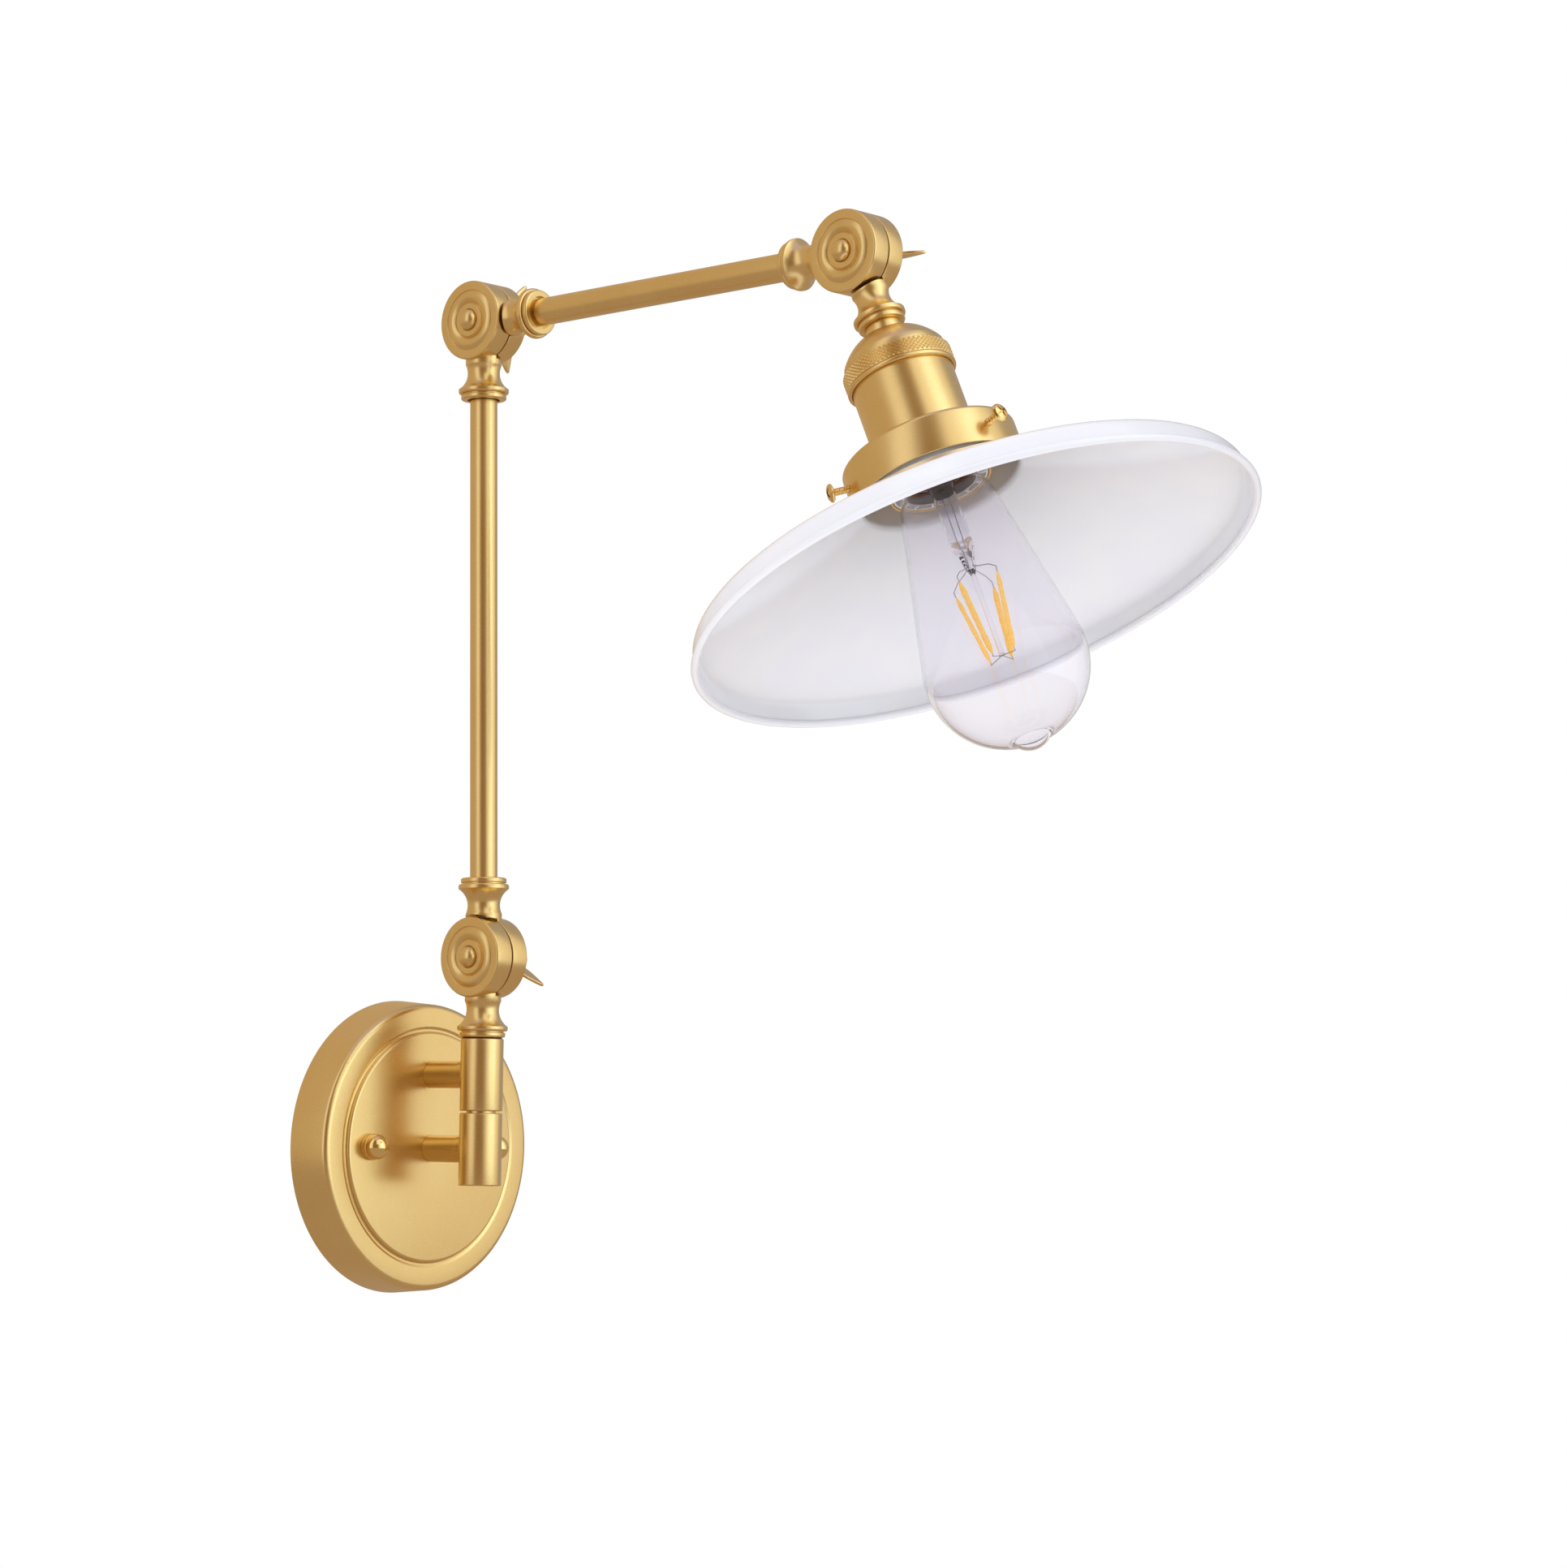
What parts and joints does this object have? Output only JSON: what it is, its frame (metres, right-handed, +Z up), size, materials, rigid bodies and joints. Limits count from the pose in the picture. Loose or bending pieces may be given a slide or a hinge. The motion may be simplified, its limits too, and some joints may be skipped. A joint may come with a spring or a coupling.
{
  "type": "adjustable wall lamp",
  "caption": "Wall lamp on a round canopy with a swivel, folding arms on wing-nut knuckles, a tilting wide enamel shade and a clear filament bulb",
  "frame": {"origin": "Centre of the canopy, on the wall plane, midway between the two wall screw slots", "axes": "+Z up, +Y into the wall, so the lamp stands out towards -Y; +X to the right of someone facing the wall"},
  "size_m": [0.224, 0.4016, 0.4214],
  "materials": {
    "satin_gold": "satin brushed gold plate",
    "polished_gold": "polished gold plate",
    "zinc": "bright zinc plate",
    "steel": "plain steel",
    "green_paint": "green lacquered steel",
    "black_nylon": "moulded",
    "fibre": "pressed fibre",
    "lead_sheath": "matt sheath",
    "white_enamel": "glossy white enamel on steel",
    "porcelain": "white glaze",
    "copper": "copper-coloured sheet",
    "clear_glass": "clear",
    "nickel": "nickel plate",
    "black_glass": "black vitrite",
    "filament_yellow": "yellow coated filament strip"
  },
  "bodies": {
    "wall_mount": {"mounting_bracket": "zinc", "ground_screw": "green_paint", "canopy_studs": "steel", "stud_nuts": "zinc", "canopy_cover": "satin_gold", "cap_nut_left": "polished_gold", "cap_nut_right": "polished_gold", "lower_post": "satin_gold", "upper_post": "satin_gold", "post_nuts": "zinc", "lower_sleeve": "satin_gold", "upper_sleeve": "satin_gold"},
    "swivel": {"swivel_shaft": "satin_gold", "swivel_washer": "black_nylon", "swivel_retaining_nut": "zinc", "base_knuckle_lower": "satin_gold", "base_bolt": "satin_gold", "base_friction_washer": "fibre"},
    "lower_arm": {"base_knuckle_upper": "satin_gold", "base_wing_washer": "zinc", "lower_arm_tube": "satin_gold", "lower_arm_lead": "lead_sheath", "elbow_knuckle_lower": "satin_gold", "elbow_bolt": "satin_gold", "elbow_friction_washer": "fibre"},
    "upper_arm": {"elbow_knuckle_upper": "satin_gold", "elbow_wing_washer": "zinc", "upper_arm_tube": "satin_gold", "upper_arm_lead": "lead_sheath", "head_knuckle_arm": "satin_gold", "head_bolt": "satin_gold", "head_friction_washer": "fibre"},
    "lamp_head": {"head_knuckle_lamp": "satin_gold", "head_wing_washer": "zinc", "head_nipple": "polished_gold", "head_neck": "satin_gold", "nipple_nut": "zinc", "socket_cap": "satin_gold", "socket_shell": "satin_gold", "socket_core": "porcelain", "socket_thread_shell": "copper", "socket_contact": "copper", "shade_holder": "satin_gold", "holder_ring_nut": "polished_gold", "shade": "white_enamel"},
    "bulb": {"bulb_glass": "clear_glass", "bulb_base": "nickel", "bulb_insulator": "black_glass", "bulb_contact": "nickel", "bulb_stem": "clear_glass", "bulb_filaments": "filament_yellow", "bulb_wires": "steel"},
    "base_wing": {"base_wing_nut": "satin_gold"},
    "elbow_wing": {"elbow_wing_nut": "satin_gold"},
    "head_wing": {"head_wing_nut": "satin_gold"},
    "front_screw": {"shade_screw_front": "polished_gold"},
    "left_screw": {"shade_screw_left": "polished_gold"},
    "right_screw": {"shade_screw_right": "polished_gold"}
  },
  "joints": [
    {"name": "swivel", "type": "hinge", "parent": "wall_mount", "child": "swivel", "pos_m": [0, -0.048, 0], "axis": [0, 0, 1], "range_deg": [-75, 75]},
    {"name": "base_tilt", "type": "hinge", "parent": "swivel", "child": "lower_arm", "pos_m": [0, -0.048, 0.0773], "axis": [1, 0, 0], "range_deg": [-2, 100]},
    {"name": "elbow", "type": "hinge", "parent": "lower_arm", "child": "upper_arm", "pos_m": [0, -0.04114, 0.33921], "axis": [-1, 0, 0], "range_deg": [-25, 85]},
    {"name": "head_tilt", "type": "hinge", "parent": "upper_arm", "child": "lamp_head", "pos_m": [0, -0.23905, 0.34508], "axis": [1, 0, 0], "range_deg": [-100, 45]},
    {"name": "bulb_turn", "type": "hinge", "parent": "lamp_head", "child": "bulb", "pos_m": [0, -0.2743, 0.26774], "axis": [0, -0.4147, -0.91], "range_deg": [0, 360]},
    {"name": "base_wing_turn", "type": "hinge", "parent": "swivel", "child": "base_wing", "pos_m": [0, -0.048, 0.0773], "axis": [1, 0, 0], "range_deg": [0, 270]},
    {"name": "elbow_wing_turn", "type": "hinge", "parent": "lower_arm", "child": "elbow_wing", "pos_m": [0, -0.04114, 0.33921], "axis": [1, 0, 0], "range_deg": [0, 270]},
    {"name": "head_wing_turn", "type": "hinge", "parent": "upper_arm", "child": "head_wing", "pos_m": [0, -0.23905, 0.34508], "axis": [1, 0, 0], "range_deg": [0, 270]},
    {"name": "front_screw_travel", "type": "slide", "parent": "lamp_head", "child": "front_screw", "axis": [-0.1908, -0.8932, 0.4071], "range_m": [0, 0.004]},
    {"name": "left_screw_travel", "type": "slide", "parent": "lamp_head", "child": "left_screw", "axis": [-0.7547, 0.597, -0.2721], "range_m": [0, 0.004]},
    {"name": "right_screw_travel", "type": "slide", "parent": "lamp_head", "child": "right_screw", "axis": [0.9455, 0.2963, -0.135], "range_m": [0, 0.004]}
  ]
}
